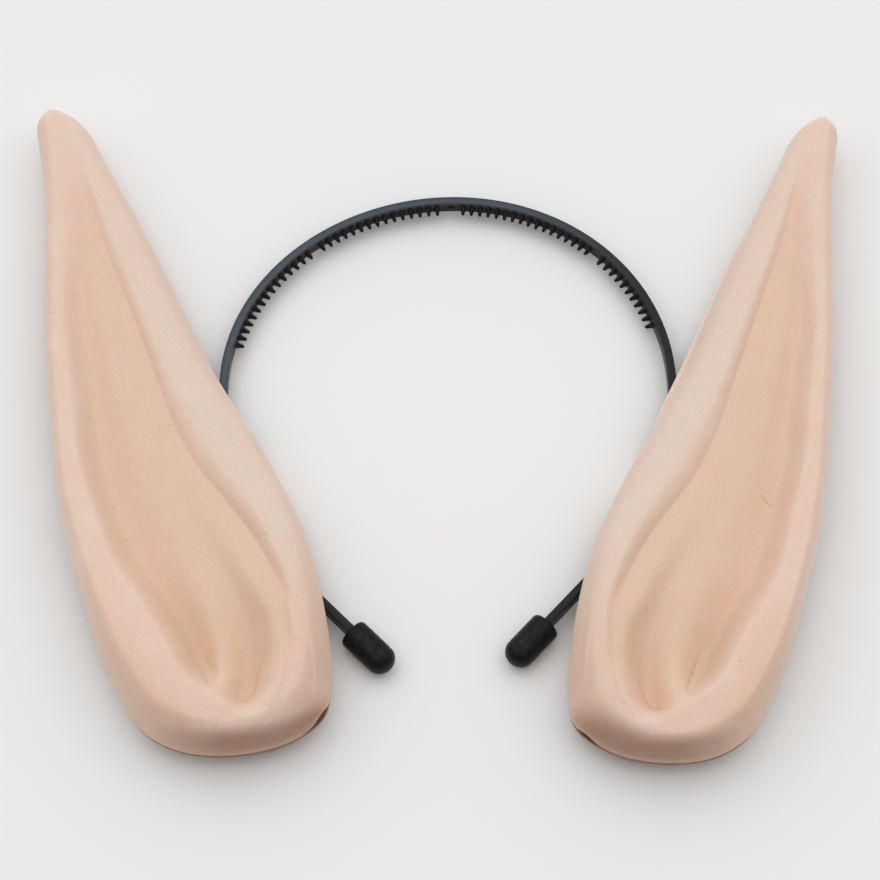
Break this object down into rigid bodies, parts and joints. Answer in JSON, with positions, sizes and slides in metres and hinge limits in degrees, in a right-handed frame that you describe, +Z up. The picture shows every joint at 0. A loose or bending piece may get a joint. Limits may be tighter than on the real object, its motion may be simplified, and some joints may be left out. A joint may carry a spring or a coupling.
{
  "type": "elf ear headband",
  "caption": "Slim toothed plastic hair band with rounded rubber tips, carrying long pointed elf ears moulded in hollow skin-toned foam on flat foam backs.",
  "frame": {"origin": "middle of the footprint, on the surface that it lies on", "axes": "+Z up out of the ears' fronts, +Y towards the ear tips and the top of the band, +X across the head"},
  "size_m": [0.2238, 0.192, 0.0229],
  "materials": {
    "moulded_foam": "matte skin-toned moulded foam",
    "foam_sheet": "matte skin-toned foam sheet",
    "band_plastic": "satin dark slate moulded plastic",
    "tip_rubber": "matte black rubber"
  },
  "bodies": {
    "root": {"headband": "band_plastic", "left_tip": "tip_rubber", "right_tip": "tip_rubber", "left_ear_front": "moulded_foam", "left_ear_back": "foam_sheet", "right_ear_front": "moulded_foam", "right_ear_back": "foam_sheet"}
  },
  "joints": []
}
